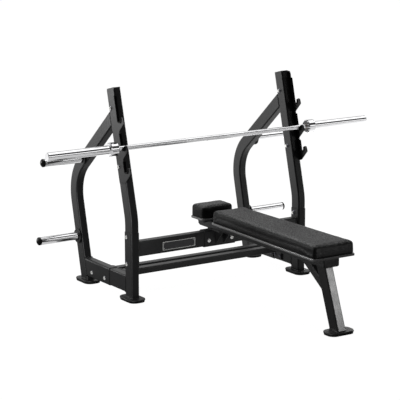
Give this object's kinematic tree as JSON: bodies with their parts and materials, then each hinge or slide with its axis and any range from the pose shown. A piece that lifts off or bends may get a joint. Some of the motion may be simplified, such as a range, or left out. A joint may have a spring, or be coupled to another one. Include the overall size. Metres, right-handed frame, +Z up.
{
  "type": "olympic bench press",
  "caption": "Fixed flat bench with a leaning rack, stepped bar hooks, plate storage pegs and a long barbell resting across the uprights.",
  "frame": {"origin": "middle of the bounding box at floor level", "axes": "+X along the barbell, +Z up, +Y from the bench foot end towards the rear of the rack"},
  "size_m": [2.2, 1.9034, 1.2114],
  "materials": {
    "frame_paint": "satin powder coat",
    "hook_paint": "satin powder coat",
    "flange_black": "black powder coat",
    "chrome": "polished chrome",
    "chrome_cap": "chrome",
    "bar_steel": "chromed steel, knurled grips",
    "spring_steel": "blued",
    "zinc": "zinc plated",
    "bronze": "sintered bronze",
    "plate_satin": "satin, blank",
    "liner_plastic": "wear plastic",
    "cap_plastic": "moulded",
    "board": "black stained plywood",
    "vinyl": "grained upholstery vinyl",
    "rubber": "moulded"
  },
  "bodies": {
    "frame": {"beam_front_cap": "cap_plastic", "beam_rear_plug": "cap_plastic", "bench_beam": "frame_paint", "bench_leg": "frame_paint", "crossbar_end_plates": "frame_paint", "foot_plate_front_left": "frame_paint", "foot_plate_front_right": "frame_paint", "foot_plate_leg": "frame_paint", "foot_plate_rear_left": "frame_paint", "foot_plate_rear_right": "frame_paint", "foot_rubber_pads": "rubber", "frame_nuts": "zinc", "front_post_left": "frame_paint", "front_post_right": "frame_paint", "head_pad": "vinyl", "head_pad_board": "board", "hook_liners_left": "liner_plastic", "hook_liners_right": "liner_plastic", "hook_plate_bolts": "zinc", "hook_plate_left": "hook_paint", "hook_plate_right": "hook_paint", "leg_brace": "frame_paint", "lower_crossbar_front": "frame_paint", "lower_crossbar_rear": "frame_paint", "main_pad": "vinyl", "main_pad_board": "board", "name_plate": "plate_satin", "pad_brackets": "frame_paint", "peg_bolts": "zinc", "peg_end_caps": "cap_plastic", "peg_flanges": "flange_black", "post_sleeve_bolts": "zinc", "post_sleeve_left": "frame_paint", "post_sleeve_right": "frame_paint", "rail_bolts": "zinc", "rail_stub_left": "frame_paint", "rail_stub_right": "frame_paint", "rear_rail_left": "frame_paint", "rear_rail_right": "frame_paint", "rear_strut_left": "frame_paint", "rear_strut_right": "frame_paint", "saddle_bolts": "zinc", "saddle_bracket": "frame_paint", "small_screws": "spring_steel", "storage_peg_lower_left": "chrome", "storage_peg_lower_right": "chrome", "storage_peg_upper_left": "chrome", "storage_peg_upper_right": "chrome", "upper_crossbar": "frame_paint", "upright_caps": "cap_plastic", "upright_left": "frame_paint", "upright_right": "frame_paint"},
    "barbell": {"bar_shaft": "bar_steel", "snap_rings": "spring_steel"},
    "sleeve_left": {"bar_sleeve_left": "chrome", "sleeve_bushes_left": "bronze", "sleeve_end_cap_left": "chrome_cap"},
    "sleeve_right": {"bar_sleeve_right": "chrome", "sleeve_bushes_right": "bronze", "sleeve_end_cap_right": "chrome_cap"}
  },
  "joints": [
    {"name": "bar_lift", "type": "slide", "parent": "frame", "child": "barbell", "axis": [0, 0, 1], "range_m": [0, 0.09]},
    {"name": "sleeve_left_spin", "type": "hinge", "parent": "barbell", "child": "sleeve_left", "pos_m": [0, 0.31473, 0.8823], "axis": [1, 0, 0], "continuous": true},
    {"name": "sleeve_right_spin", "type": "hinge", "parent": "barbell", "child": "sleeve_right", "pos_m": [0, 0.31473, 0.8823], "axis": [1, 0, 0], "continuous": true}
  ]
}
